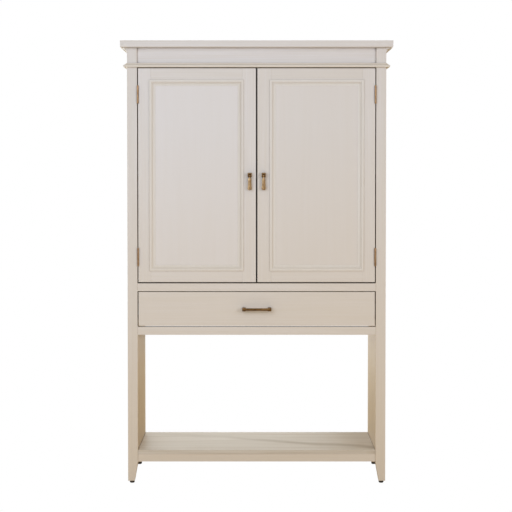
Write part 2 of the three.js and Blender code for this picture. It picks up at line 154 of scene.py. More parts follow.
def add_node(tree: Tree, kind: str, inputs: dict | None = None, **settings) -> bpy.types.Node:
    """Adds a node, sets its properties, and fills or links its input sockets.

    Args:
        tree: The node tree to add to.
        kind: The node's type name.
        inputs: Socket name or index to a value, or to the output socket to link from.
        **settings: Properties of the node.

    Returns:
        The new node.
    """
    node = tree.nodes.new(kind)
    for name, value in settings.items():
        setattr(node, name, value)
    for socket, value in (inputs or {}).items():
        if isinstance(value, Socket):
            tree.links.new(value, node.inputs[socket])
        else:
            node.inputs[socket].default_value = value
    return node


def mixed(
    tree: Tree, factor: Socket | float, first: Socket | tuple, second: Socket | tuple
) -> Socket:
    """Blends two colours and returns the result's socket.

    Args:
        tree: The material's node tree.
        factor: How much of the second colour.
        first: A colour or its socket.
        second: A colour or its socket.

    Returns:
        The blended colour's socket.
    """
    node = add_node(tree, "ShaderNodeMix", {0: factor, 6: first, 7: second}, data_type="RGBA")
    return node.outputs[2]


def ranged(tree: Tree, value: Socket, source: Span, target: Span) -> Socket:
    """Maps a value from one range to another and returns the result's socket.

    Args:
        tree: The material's node tree.
        value: The socket to read.
        source: The lowest and highest value to expect.
        target: What those two become.

    Returns:
        The mapped value's socket.
    """
    inputs = {
        "Value": value,
        "From Min": source[0],
        "From Max": source[1],
        "To Min": target[0],
        "To Max": target[1],
    }
    return add_node(tree, "ShaderNodeMapRange", inputs).outputs["Result"]


def computed(tree: Tree, operation: str, *values: Socket | float) -> Socket:
    """Does one step of arithmetic and returns the result's socket."""
    node = add_node(tree, "ShaderNodeMath", dict(enumerate(values)), operation=operation)
    return node.outputs[0]


def openness(tree: Tree, distance: float) -> Socket:
    """How open a point is within a distance: 1 on a plain face and near 0 in a narrow gap."""
    node = add_node(
        tree, "ShaderNodeAmbientOcclusion", {"Distance": distance}, samples=OCCLUSION_SAMPLES
    )
    return node.outputs["AO"]


def bumped(tree: Tree, height: Socket, strength: float, distance: float) -> Socket:
    """Turns a height into a bumped normal and returns the normal's socket."""
    inputs = {"Height": height, "Strength": strength, "Distance": distance}
    return add_node(tree, "ShaderNodeBump", inputs).outputs["Normal"]


def stretched_noise(tree: Tree, uv: Socket, size: Span, detail: float, distortion: float) -> Socket:
    """Noise that is long along the grain and fine across it.

    Args:
        tree: The material's node tree.
        uv: The grain's UV socket.
        size: The pattern's length along the grain and pitch across it, in metres.
        detail: How fine the noise goes.
        distortion: How far its lines wander.

    Returns:
        The noise's socket.
    """
    scale = (1 / size[0], 1 / size[1], 1.0)
    stretched = add_node(tree, "ShaderNodeMapping", {"Vector": uv, "Scale": scale})
    inputs = {
        "Vector": stretched.outputs["Vector"],
        "Scale": 1.0,
        "Detail": detail,
        "Distortion": distortion,
    }
    return add_node(tree, "ShaderNodeTexNoise", inputs).outputs["Fac"]


def seen_as_white(tree: Tree, real: bpy.types.Node, white_kind: str) -> bpy.types.Node:
    """Shows plain white to the camera and the real shader to everything else."""
    white = add_node(tree, white_kind, {"Color": (1, 1, 1, 1), "Strength": 1.0})
    seen = add_node(tree, "ShaderNodeLightPath").outputs["Is Camera Ray"]
    inputs = {0: seen, 1: real.outputs[0], 2: white.outputs[0]}
    return add_node(tree, "ShaderNodeMixShader", inputs)


def new_object(name: str, data: bpy.types.ID) -> Piece:
    """Makes an object in the scene."""
    made = bpy.data.objects.new(name, data)
    bpy.context.scene.collection.objects.link(made)
    return made


def new_material(name: str) -> tuple[Material, Tree]:
    """Makes an empty node material.

    Args:
        name: The material's name.

    Returns:
        The material and its node tree.
    """
    material = bpy.data.materials.new(name)
    material.use_nodes = True
    material.node_tree.nodes.clear()
    return material, material.node_tree


def output_surface(tree: Tree, shader: bpy.types.Node) -> None:
    """Links a shader to the material's output."""
    add_node(tree, "ShaderNodeOutputMaterial", {"Surface": shader.outputs[0]})


# ---- Finishes ----
@dataclass(frozen=True)
class BrushedPaint:
    """Antique white satin paint, brushed along the grain, with glazing and painted shade in
    corners.

    The brush gives it faint long streaks, the wood under it a soft drift of tone, and a tan colour,
    part glazing and part painted shade, darkens it wherever two surfaces meet. Narrow gaps get a
    painted dark brown shade and lose their sheen, a painted warm shade grows towards the bottom,
    and faces that look into the open bay turn a darker tan.
    """

    name: str = "antique_white_brushed_paint"
    base: str = "#dfd9d6"
    streak: str = "#d0c4b3"
    streak_strength: float = 0.26
    worn: str = "#c2ae93"
    # Tan that the corners darken towards: part glaze, part painted shade.
    glaze: str = "#8d7453"
    # Painted shade: the dark brown that narrow gaps between parts turn.
    gap: str = "#3f2814"
    gap_strength: float = 1.0
    # The tan that faces looking into the open bay turn, streaked along the grain; the painted warm
    # shade lower down uses it too.
    wash: str = "#d8ba88"
    wash_strength: float = 0.42
    wash_grain: float = 0.5
    # Painted warm shade: the paint turns tan lower down, up to this height in metres and at most
    # this much.
    warm_below: float = 1.35
    warmth: float = 0.34
    # How strongly and how far the corners darken: part glaze, part painted shade.
    glaze_strength: float = 0.18
    glaze_width: float = 7 * MM
    # How far the painted gap shade looks for nearby walls.
    gap_width: float = 20 * MM
    brush_pitch: float = 3.5 * MM
    brush_length: float = 0.35
    brush_relief: float = 0.35
    grain_pitch: float = 45 * MM
    grain_length: float = 1.1
    grain_strength: float = 0.25
    roughness: Span = (0.42, 0.56)
    streak_span: Span = (0.35, 0.7)
    drift_span: Span = (0.4, 0.75)
    rubbing: Span = (0.1, 0.5)
    # Openness spans for the corner glaze and painted shade, the painted gap shade, and the sheen's
    # painted fade in gaps.
    corner_span: Span = (0.25, 0.8)
    gap_span: Span = (0.14, 0.42)
    gloss_span: Span = (0.14, 0.45)
    gloss: float = 0.5
    brush_depth: float = 0.12 * MM
    # Height in metres where the painted warm shade is strongest.
    warm_from: float = 0.1

    def material(self) -> Material:
        """Builds the paint's material."""
        material, tree = new_material(self.name)
        uv = add_node(tree, "ShaderNodeUVMap", uv_map=GRAIN_UV).outputs["UV"]
        brush = stretched_noise(tree, uv, (self.brush_length, self.brush_pitch), 4.0, 0.2)
        grain = stretched_noise(tree, uv, (self.grain_length, self.grain_pitch), 3.0, 1.4)
        tone, edge, wash = (
            add_node(tree, "ShaderNodeAttribute", attribute_name=name).outputs["Fac"]
            for name in (TONE, EDGE, BAY_TINT)
        )
        streaks = ranged(tree, brush, self.streak_span, (0.0, self.streak_strength))
        drift = ranged(tree, grain, self.drift_span, (0.0, self.grain_strength))
        colour = mixed(tree, streaks, linear(self.base), linear(self.streak))
        colour = mixed(tree, drift, colour, linear(self.streak))
        colour = self._figured(tree, uv, colour)
        colour = mixed(tree, tone, colour, linear(self.streak))
        # Painted warm shade: the paint turns a darker, warmer tan towards the bottom.
        place = add_node(tree, "ShaderNodeTexCoord").outputs["Object"]
        height = add_node(tree, "ShaderNodeSeparateXYZ", {"Vector": place}).outputs["Z"]
        painted_warm_shade_amount = ranged(tree, height, (self.warm_from, self.warm_below), (self.warmth, 0.0))
        colour = mixed(tree, painted_warm_shade_amount, colour, linear(self.wash))
        # Faces that look into the open bay turn a darker tan, heavier along the grain.
        bay_tint_amount = ranged(tree, wash, (0.0, 1.0), (0.0, self.wash_strength))
        colour = mixed(tree, bay_tint_amount, colour, linear(self.wash))
        grained = ranged(tree, grain, UPPER_NOISE_SPAN, (0.0, self.wash_grain))
        bay_tint_streaks = computed(tree, "MULTIPLY", bay_tint_amount, grained)
        colour = mixed(tree, bay_tint_streaks, colour, linear(self.worn))
        rubbed = computed(tree, "MULTIPLY", edge, ranged(tree, grain, NOISE_SPAN, self.rubbing))
        colour = mixed(tree, rubbed, colour, linear(self.worn))
        # Part glaze, part painted shade: the paint turns tan where other surfaces are near.
        near = openness(tree, self.glaze_width)
        corners = ranged(tree, near, self.corner_span, (self.glaze_strength, 0.0))
        colour = mixed(tree, corners, colour, linear(self.glaze))
        # Painted shade: narrow gaps between parts turn dark brown.
        enclosed = openness(tree, self.gap_width)
        painted_gap_shade_amount = ranged(tree, enclosed, self.gap_span, (self.gap_strength, 0.0))
        colour = mixed(tree, painted_gap_shade_amount, colour, linear(self.gap))
        normal = bumped(tree, brush, self.brush_relief, self.brush_depth)
        inputs = {
            "Base Color": colour,
            "Roughness": ranged(tree, brush, WIDE_NOISE_SPAN, self.roughness),
            "Normal": normal,
            "IOR": 1.48,
            # Painted shade on the sheen: its reflection fades out in narrow gaps.
            "Specular IOR Level": ranged(tree, enclosed, self.gloss_span, (0.0, self.gloss)),
        }
        output_surface(tree, add_node(tree, "ShaderNodeBsdfPrincipled", inputs))
        return material

    def _figured(self, tree: Tree, uv: Socket, colour: Socket) -> Socket:
        """Adds one board's own figure. Plain paint hides it, so the colour comes back unchanged."""
        return colour


@dataclass(frozen=True)
class FiguredPaint(BrushedPaint):
    """A thin wash of the paint over a board whose grain shows, with one dark band that wanders.

    The band gives the low shelf its flowing streak, from the middle of the board to its front
    right corner.
    """

    band: str = "#a3927a"
    band_strength: float = 0.85
    band_start: float = 25 * MM
    band_slope: float = -0.36
    band_width: float = 40 * MM
    band_wander: float = 70 * MM
    band_waves: Span = (0.45, 0.4)
    band_core: float = 0.15
    band_fade: Span = (-0.12, 0.12)
    band_faint: float = 0.25

    def _figured(self, tree: Tree, uv: Socket, colour: Socket) -> Socket:
        """Adds the dark band, which fades out towards the board's left end."""
        place = add_node(tree, "ShaderNodeTexCoord").outputs["Object"]
        parts = add_node(tree, "ShaderNodeSeparateXYZ", {"Vector": place}).outputs
        wander = stretched_noise(tree, uv, self.band_waves, 2.0, 0.6)
        swing = (-self.band_wander / 2, self.band_wander / 2)
        bend = ranged(tree, wander, WIDE_NOISE_SPAN, swing)
        line = computed(tree, "MULTIPLY_ADD", parts["X"], self.band_slope, self.band_start)
        middle = computed(tree, "ADD", line, bend)
        away = computed(tree, "SUBTRACT", parts["Y"], middle)
        distance = computed(tree, "ABSOLUTE", away)
        core = self.band_core * self.band_width
        inside = ranged(tree, distance, (core, self.band_width), (1.0, 0.0))
        strength = (self.band_faint, self.band_strength)
        shown = ranged(tree, parts["X"], self.band_fade, strength)
        amount = computed(tree, "MULTIPLY", inside, shown)
        return mixed(tree, amount, colour, linear(self.band))


@dataclass(frozen=True)
class ClearWood:
    """Poplar with a clear lacquer: pale boards with thin darker growth lines along them."""

    name: str = "lacquered_poplar"
    light: str = "#e0cba6"
    dark: str = "#c7a878"
    line_pitch: float = 14 * MM
    line_length: float = 0.9
    line_span: Span = (0.35, 0.7)
    line_depth: float = 0.1 * MM
    relief: float = 0.2
    roughness: float = 0.45

    def material(self) -> Material:
        """Builds the wood's material."""
        material, tree = new_material(self.name)
        uv = add_node(tree, "ShaderNodeUVMap", uv_map=GRAIN_UV).outputs["UV"]
        lines = stretched_noise(tree, uv, (self.line_length, self.line_pitch), 6.0, 1.0)
        darker = ranged(tree, lines, self.line_span, (0.0, 1.0))
        inputs = {
            "Base Color": mixed(tree, darker, linear(self.light), linear(self.dark)),
            "Roughness": self.roughness,
            "Normal": bumped(tree, lines, self.relief, self.line_depth),
        }
        output_surface(tree, add_node(tree, "ShaderNodeBsdfPrincipled", inputs))
        return material


@dataclass(frozen=True)
class Speckled:
    """A plain moulded or pressed surface with a fine even speckle."""

    name: str
    colour: str
    second: str
    roughness: float
    pitch: float = 2 * MM
    metallic: float = 0.0
    bump: float = 0.1 * MM
    relief: float = 0.3

    def material(self) -> Material:
        """Builds the material."""
        material, tree = new_material(self.name)
        place = add_node(tree, "ShaderNodeTexCoord").outputs["Object"]
        noise = add_node(
            tree, "ShaderNodeTexNoise", {"Vector": place, "Scale": 1 / self.pitch, "Detail": 3.0}
        ).outputs["Fac"]
        second = ranged(tree, noise, NOISE_SPAN, (0.0, 1.0))
        inputs = {
            "Base Color": mixed(tree, second, linear(self.colour), linear(self.second)),
            "Roughness": self.roughness,
            "Metallic": self.metallic,
            "Normal": bumped(tree, noise, self.relief, self.bump),
        }
        output_surface(tree, add_node(tree, "ShaderNodeBsdfPrincipled", inputs))
        return material


@dataclass(frozen=True)
class AgedMetal:
    """Cast and rubbed metal: bright where hands polish it, dark where the patina stays."""

    name: str
    bright: str
    patina: str
    roughness: Span = (0.28, 0.5)
    patch: float = 9 * MM
    recess_width: float = 3 * MM
    recess_span: Span = (0.3, 0.85)
    recess_strength: float = 0.85
    patch_strength: float = 0.6

    def material(self) -> Material:
        """Builds the metal's material."""
        material, tree = new_material(self.name)
        place = add_node(tree, "ShaderNodeTexCoord").outputs["Object"]
        patches = add_node(
            tree, "ShaderNodeTexNoise", {"Vector": place, "Scale": 1 / self.patch, "Detail": 4.0}
        ).outputs["Fac"]
        near = openness(tree, self.recess_width)
        recess = ranged(tree, near, self.recess_span, (self.recess_strength, 0.0))
        worn = ranged(tree, patches, UPPER_NOISE_SPAN, (0.0, self.patch_strength))
        colour = mixed(tree, worn, linear(self.bright), linear(self.patina))
        colour = mixed(tree, recess, colour, linear(self.patina))
        inputs = {
            "Base Color": colour,
            "Metallic": 1.0,
            "Roughness": ranged(tree, patches, NOISE_SPAN, self.roughness),
        }
        output_surface(tree, add_node(tree, "ShaderNodeBsdfPrincipled", inputs))
        return material


class Finish(Enum):
    """The finishes of the cabinet, each with the record's slot that it belongs to."""

    PAINT = ("painted_wood", BrushedPaint())
    WASHED = (
        "painted_wood",
        FiguredPaint(
            name="antique_white_wash_over_grain", base="#dad1c6", streak="#b9ab99",
            grain_pitch=22 * MM, grain_length=0.8, grain_strength=0.8, brush_pitch=2 * MM,
            # A weaker painted warm shade towards the bottom.
            streak_strength=0.4, warmth=0.12,
        ),
    )
    # Astragal: paler paint whose corners darken more, with tan glaze and painted shade.
    GLAZED = (
        "painted_wood",
        BrushedPaint(name="antique_white_glazed_astragal", base="#e6ddd2", glaze_strength=0.3),
    )
    # Door moulding: its corners darken more, with tan glaze and painted shade.
    MOULDING = (
        "painted_wood",
        BrushedPaint(
            name="antique_white_glazed_moulding", base="#e0dad4", glaze_strength=0.3,
            grain_strength=0.1,
        ),
    )
    PANEL = (
        "painted_wood",
        BrushedPaint(
            name="antique_white_sprayed_paint", streak_strength=0.05, grain_strength=0.08,
            brush_relief=0.12,
        ),
    )
    POPLAR = ("drawer_wood", ClearWood())
    HARDBOARD = (
        "back_board", Speckled("painted_hardboard", "#d6d0c8", "#ccc4ba", 0.75, pitch=3 * MM)
    )
    BRASS = ("antique_brass", AgedMetal("antique_brass", "#ab8a62", "#4e3820"))
    COPPERY = ("antique_brass", AgedMetal("coppery_hinge_brass", "#ad8a66", "#4a3523"))
    BRONZE = ("dark_bronze", AgedMetal("oil_rubbed_bronze", "#7a5a37", "#2a1d11", (0.35, 0.55)))
    STEEL = (
        "slide_steel",
        Speckled(
            "zinc_plated_steel", "#b9bcbf", "#a3a7ab", 0.34, pitch=6 * MM, metallic=1.0,
            bump=0.02 * MM,
        ),
    )
    NYLON = ("nylon", Speckled("moulded_nylon", "#2f2820", "#3a3229", 0.55, pitch=1 * MM))

    @property
    def slot(self) -> str:
        """The record's material slot."""
        return self.value[0]


@dataclass
class Workshop:
    """Holds the frame and the finishes, and turns frame nodes into finished pieces."""

    frame: dict
    materials: dict[Finish, Material] = field(default_factory=dict)
    made: int = 0

    def material(self, finish: Finish) -> Material:
        """The finish's material, made once."""
        if finish not in self.materials:
            self.materials[finish] = finish.value[1].material()
        return self.materials[finish]

    def body_of(self, node: str) -> str:
        """The name of the body that a frame node moves with."""
        return self.frame["nodes"][node]["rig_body"]

    def copied(self, node: str) -> Shape:
        """A frame node's shape with its triangles merged into whole faces.

        Args:
            node: The node's name.

        Returns:
            A mesh to edit. The caller frees it.
        """
        shape = bmesh.new()
        shape.from_mesh(self.frame["nodes"][node].data)
        bmesh.ops.remove_doubles(shape, verts=shape.verts, dist=WELD)
        bmesh.ops.dissolve_limit(
            shape, angle_limit=math.radians(FLAT_ANGLE), verts=shape.verts, edges=shape.edges
        )
        shape.normal_update()
        return shape

    def finished(
        self, shape: Shape, name: str, finish: Finish, body: str, replaces: tuple[str, ...] = ()
    ) -> Piece:
        """Turns a mesh into a piece that has its finish and rides on its body.

        Args:
            shape: The mesh. It is freed here.
            name: The piece's name.
            finish: Its finish.
            body: The body that it moves with.
            replaces: The frame nodes that it stands for.

        Returns:
            The piece.
        """
        mesh = bpy.data.meshes.new(name)
        shape.to_mesh(mesh)
        shape.free()
        return self.adopted(mesh, name, finish, body, replaces)

    def adopted(
        self, mesh: Mesh, name: str, finish: Finish, body: str, replaces: tuple[str, ...] = ()
    ) -> Piece:
        """Gives a finished mesh its object, material and body, and returns the object."""
        piece = new_object(name, mesh)
        mesh.materials.clear()
        mesh.materials.append(self.material(finish))
        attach(piece, body)
        if replaces:
            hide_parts(*replaces)
        self.made += 1
        log.info("%s rides on %s with %s", name, body, finish.name.lower())
        return piece

    def board(
        self,
        node: str,
        grain: Axis,
        finish: Finish = Finish.PAINT,
        ease: float = 0.5 * MM,
        washed: Direction | None = None,
    ) -> Piece:
        """A flat board: the node's shape with eased edges and a grain along one axis.

        Args:
            node: The frame node that it stands for.
            grain: The way that its grain runs.
            finish: Its finish.
            ease: The width of its eased edges.
            washed: The way that its one face with a darker tan on it looks, if it has one.

        Returns:
            The piece.
        """
        shape = self.copied(node)
        ease_edges(shape, ease)
        lay_grain(shape, grain, seed=node)
        if washed:
            leave_wash(shape, washed)
        return self.finished(shape, f"finished_{node}", finish, self.body_of(node), (node,))

    def rounded(
        self,
        node: str,
        grain: Axis,
        finish: Finish,
        ease: float = 0.0,
        crease: float = CREASE_ANGLE,
    ) -> Piece:
        """A moulded, turned or cast piece: the node's shape, shaded smooth over its curves.

        Args:
            node: The frame node that it stands for.
            grain: The way that its grain runs.
            finish: Its finish.
            ease: The radius of its sharp edges, or 0 to leave them.
            crease: Edges over this angle, in degrees, stay sharp.

        Returns:
            The piece.
        """
        shape = self.copied(node)
        if ease:
            ease_edges(shape, ease, segments=3, over=crease)
        lay_grain(shape, grain, seed=node)
        piece = self.finished(shape, f"finished_{node}", finish, self.body_of(node), (node,))
        piece.data.shade_smooth()
        piece.data.set_sharp_from_angle(angle=math.radians(crease))
        return piece

    def repeated(
        self,
        tool: NodeTool,
        name: str,
        places: list[tuple],
        facing: Direction,
        finish: Finish,
        body: str,
        **sizes: float,
    ) -> Piece:
        """Small pieces that a node tool sets on points, as one piece.

        Args:
            tool: The node tool.
            name: The piece's name.
            places: Where each one is.
            facing: The way that they all face.
            finish: Their finish.
            body: The body that they move with.
            **sizes: Values for the tool's inputs.

        Returns:
            The piece.
        """
        points = bpy.data.meshes.new(f"{name}_points")
        points.from_pydata(places, [], [])
        stored = points.attributes.new(FACING, "FLOAT_VECTOR", "POINT")
        stored.data.foreach_set("vector", list(facing) * len(places))
        mesh = tool.run(points, name, material=self.material(finish), **sizes)
        return self.adopted(mesh, name, finish, body)


def ease_edges(shape: Shape, width: float, segments: int = 2, over: float = CREASE_ANGLE) -> None:
    """Rounds the edges of a mesh, and marks the new faces as edges that wear.

    Args:
        shape: The mesh to change.
        width: How far the rounding reaches from an edge.
        segments: How many faces round an edge.
        over: Only edges over this angle, in degrees, are rounded.
    """
    limit = math.radians(over)
    sharp = [e for e in shape.edges if e.is_manifold and e.calc_face_angle(0.0) > limit]
    marks = shape.faces.layers.float.new(EDGE)
    made = bmesh.ops.bevel(
        shape, geom=sharp, offset=width, offset_type="OFFSET", segments=segments, profile=0.5,
        affect="EDGES", clamp_overlap=True,
    )
    for face in made["faces"]:
        face[marks] = 1.0


def lay_grain(shape: Shape, grain: Axis, seed: str) -> None:
    """Lays a UV map in metres, along and across the grain, and gives the board its own tone.

    Args:
        shape: The mesh to change.
        grain: The way that the grain runs.
        seed: A name that settles the board's place in the pattern and its tone.
    """
    dice = random.Random(seed)
    start = (dice.uniform(0, PATTERN_REACH), dice.uniform(0, PATTERN_REACH))
    tone = dice.uniform(0.0, TONE_SPREAD)
    layer = shape.loops.layers.uv.new(GRAIN_UV)
    tones = shape.verts.layers.float.new(TONE)
    for vertex in shape.verts:
        vertex[tones] = tone
    for face in shape.faces:
        facing = max(range(3), key=lambda axis: abs(face.normal[axis]))
        others = [axis for axis in range(3) if axis != facing]
        along = grain.value if grain.value in others else others[0]
        across = others[0] if others[1] == along else others[1]
        for loop in face.loops:
            place = loop.vert.co
            loop[layer].uv = (start[0] + place[along], start[1] + place[across] + facing)


def leave_wash(shape: Shape, facing: Direction) -> None:
    """Marks the faces that look one way as faces that the paint turns a darker tan."""
    marks = shape.faces.layers.float.new(BAY_TINT)
    for face in shape.faces:
        face[marks] = 1.0 if face.normal.dot(Vector(facing)) > SAME_WAY else 0.0


def box_mesh(shape: Shape, low: tuple, high: tuple) -> None:
    """Adds a box between two corners to a mesh."""
    low, high = Vector(low), Vector(high)
    made = bmesh.ops.create_cube(shape, size=1.0)
    bmesh.ops.scale(shape, vec=high - low, verts=made["verts"])
    bmesh.ops.translate(shape, vec=(low + high) / 2, verts=made["verts"])


# ---- Geometry Nodes for what repeats ----
class NodeTool:
    """A Geometry Nodes tree with named inputs, used once for each set of pieces."""

    def __init__(self, name: str, inputs: dict[str, float | int | tuple]) -> None:
        """Makes the tree and its inputs, the last of which is the material.

        Args:
            name: The tree's name.
            inputs: Each other input's name, with its default value.
        """
        kinds = {float: "NodeSocketFloat", int: "NodeSocketInt", tuple: "NodeSocketVector"}
        self.tree = bpy.data.node_groups.new(name, "GeometryNodeTree")
        self._socket("Geometry", "INPUT", "NodeSocketGeometry")
        for label, default in inputs.items():
            self._socket(label, "INPUT", kinds[type(default)]).default_value = default
        self._socket("Material", "INPUT", "NodeSocketMaterial")
        self._socket("Geometry", "OUTPUT", "NodeSocketGeometry")
        self.given = add_node(self.tree, "NodeGroupInput")

    def _socket(self, label: str, way: str, kind: str) -> bpy.types.NodeTreeInterfaceSocket:
        """Adds one socket to the tree's interface."""
        return self.tree.interface.new_socket(name=label, in_out=way, socket_type=kind)

    def node(self, kind: str, inputs: dict | None = None, **settings) -> bpy.types.Node:
        """Adds a node to the tree."""
        return add_node(self.tree, kind, inputs, **settings)

    def close(self, geometry: Socket) -> None:
        """Ends the tree: realizes its instances and gives them the material."""
        real = self.node("GeometryNodeRealizeInstances", {"Geometry": geometry})
        dressed = self.node(
            "GeometryNodeSetMaterial",
            {"Geometry": real.outputs[0], "Material": self.given.outputs["Material"]},
        )
        self.node("NodeGroupOutput", {"Geometry": dressed.outputs[0]})

    def run(self, mesh: Mesh, name: str, **values) -> Mesh:
        """Runs the tree on a mesh.

        Args:
            mesh: The geometry that the tree starts from.
            name: The name of the new mesh.
            **values: Values for the inputs, with underscores for spaces in their names.

        Returns:
            The result as a plain mesh.
        """
        carrier = new_object(name, mesh)
        modifier = carrier.modifiers.new(self.tree.name, "NODES")
        modifier.node_group = self.tree
        for socket in self.tree.interface.items_tree:
            key = socket.name.replace(" ", "_").lower()
            if socket.in_out == "INPUT" and key in values:
                modifier[socket.identifier] = values[key]
        carrier.update_tag()
        evaluated = carrier.evaluated_get(bpy.context.evaluated_depsgraph_get())
        result = bpy.data.meshes.new_from_object(evaluated)
        result.name = name
        bpy.data.objects.remove(carrier)
        return result


def screw_tool() -> NodeTool:
    """Screw heads with a cross recess, one on each point, facing the point's direction."""
    tool = NodeTool("screw_heads", {"Head Radius": 3.2 * MM, "Head Height": 0.6 * MM})
    given = tool.given.outputs
    top_radius = computed(tool.tree, "MULTIPLY", given["Head Radius"], HEAD_TAPER)
    head = tool.node(
        "GeometryNodeMeshCone",
        {"Vertices": SCREW_SIDES, "Radius Top": top_radius,
         "Radius Bottom": given["Head Radius"], "Depth": given["Head Height"]},
    )
    arm = computed(tool.tree, "MULTIPLY", given["Head Radius"], RECESS_LENGTH)
    thin = computed(tool.tree, "MULTIPLY", given["Head Radius"], RECESS_WIDTH)
    lift = tool.node("ShaderNodeCombineXYZ", {"Z": given["Head Height"]}).outputs[0]
    cutters = []
    for first, second in ((arm, thin), (thin, arm)):
        size = tool.node(
            "ShaderNodeCombineXYZ", {"X": first, "Y": second, "Z": given["Head Height"]}
        ).outputs[0]
        bar = tool.node("GeometryNodeMeshCube", {"Size": size})
        moved = tool.node(
            "GeometryNodeTransform", {"Geometry": bar.outputs["Mesh"], "Translation": lift}
        )
        cutters.append(moved.outputs[0])
    cross = tool.node("GeometryNodeMeshBoolean", operation="UNION")
    for cutter in cutters:
        tool.tree.links.new(cutter, cross.inputs["Mesh 2"])
    recessed = tool.node(
        "GeometryNodeMeshBoolean",
        {"Mesh 1": head.outputs["Mesh"], "Mesh 2": cross.outputs["Mesh"]},
        operation="DIFFERENCE",
    )
    tool.close(instances(tool, recessed.outputs["Mesh"]))
    return tool


def pin_tool() -> NodeTool:
    """Shelf pins, one on each point: plain pegs that stand out of the side under the shelf."""
    tool = NodeTool("shelf_pins", {"Peg Radius": PEG_RADIUS, "Peg Length": 9 * MM})
    given = tool.given.outputs
    peg = tool.node(
        "GeometryNodeMeshCylinder",
        {"Vertices": PIN_SIDES, "Radius": given["Peg Radius"], "Depth": given["Peg Length"]},
    )
    tool.close(instances(tool, peg.outputs["Mesh"]))
    return tool


def instances(tool: NodeTool, shape: Socket) -> Socket:
    """Puts a shape on every point of the tool's input, turned to face the point's direction.

    Args:
        tool: The tool whose tree this is in.
        shape: The geometry to repeat, which faces +Z.

    Returns:
        The instances' socket.
    """
    facing = tool.node(
        "GeometryNodeInputNamedAttribute", {"Name": FACING}, data_type="FLOAT_VECTOR"
    )
    turn = tool.node("FunctionNodeAlignRotationToVector", {"Vector": facing.outputs[0]}, axis="Z")
    points = tool.node("GeometryNodeMeshToPoints", {"Mesh": tool.given.outputs["Geometry"]})
    copies = tool.node(
        "GeometryNodeInstanceOnPoints",
        {"Points": points.outputs[0], "Instance": shape, "Rotation": turn.outputs[0]},
    )
    return copies.outputs[0]


def drill_tool() -> NodeTool:
    """Two columns of shelf-pin holes drilled into a side panel's inner face."""
    tool = NodeTool(
        "pin_hole_columns",
        {
            "Column Gap": 0.24,
            "Column Height": 0.2,
            "Holes": 7,
            "Hole Radius": HOLE_RADIUS,
            "Hole Depth": 10 * MM,
            "Centre": (0.0, 0.0, 0.0),
        },
    )
    given = tool.given.outputs
    grid = tool.node(
        "GeometryNodeMeshGrid",
        {"Size X": given["Column Height"], "Size Y": given["Column Gap"],
         "Vertices X": given["Holes"], "Vertices Y": 2},
    )
    drill = tool.node(
        "GeometryNodeMeshCylinder",
        {"Vertices": HOLE_SIDES, "Radius": given["Hole Radius"], "Depth": given["Hole Depth"]},
    )
    holes = tool.node(
        "GeometryNodeInstanceOnPoints",
        {"Points": grid.outputs["Mesh"], "Instance": drill.outputs["Mesh"]},
    )
    upright = tool.node(
        "GeometryNodeTransform",
        {"Geometry": holes.outputs[0], "Translation": given["Centre"],
         "Rotation": (0.0, math.radians(90), 0.0)},
    )
    solid = tool.node("GeometryNodeRealizeInstances", {"Geometry": upright.outputs[0]})
    drilled = tool.node(
        "GeometryNodeMeshBoolean",
        {"Mesh 1": given["Geometry"], "Mesh 2": solid.outputs[0]},
        operation="DIFFERENCE",
    )
    tool.close(drilled.outputs["Mesh"])
    return tool


def spread(low: float, high: float, margin: float, count: int) -> list[float]:
    """Evenly spaced places between two ends, with a margin at both."""
    return [low + margin + i * (high - low - 2 * margin) / (count - 1) for i in range(count)]


# ---- Sub-assemblies ----
@dataclass
class Crown:
    """The cap board, the coves under its ends, the frieze and the astragal."""

    shop: Workshop

    def build(self) -> None:
        """Builds the crown's pieces."""
        self.shop.rounded("cap_board", Axis.X, Finish.PAINT, crease=45.0)
        self.shop.board("frieze_board", Axis.X)
        for side in Side:
            self.shop.rounded(f"cove_moulding_{side.word}", Axis.Y, Finish.PAINT)
        # The astragal's finish darkens its corners more: tan glaze and painted shade.
        self.shop.rounded("astragal_moulding", Axis.X, Finish.GLAZED)


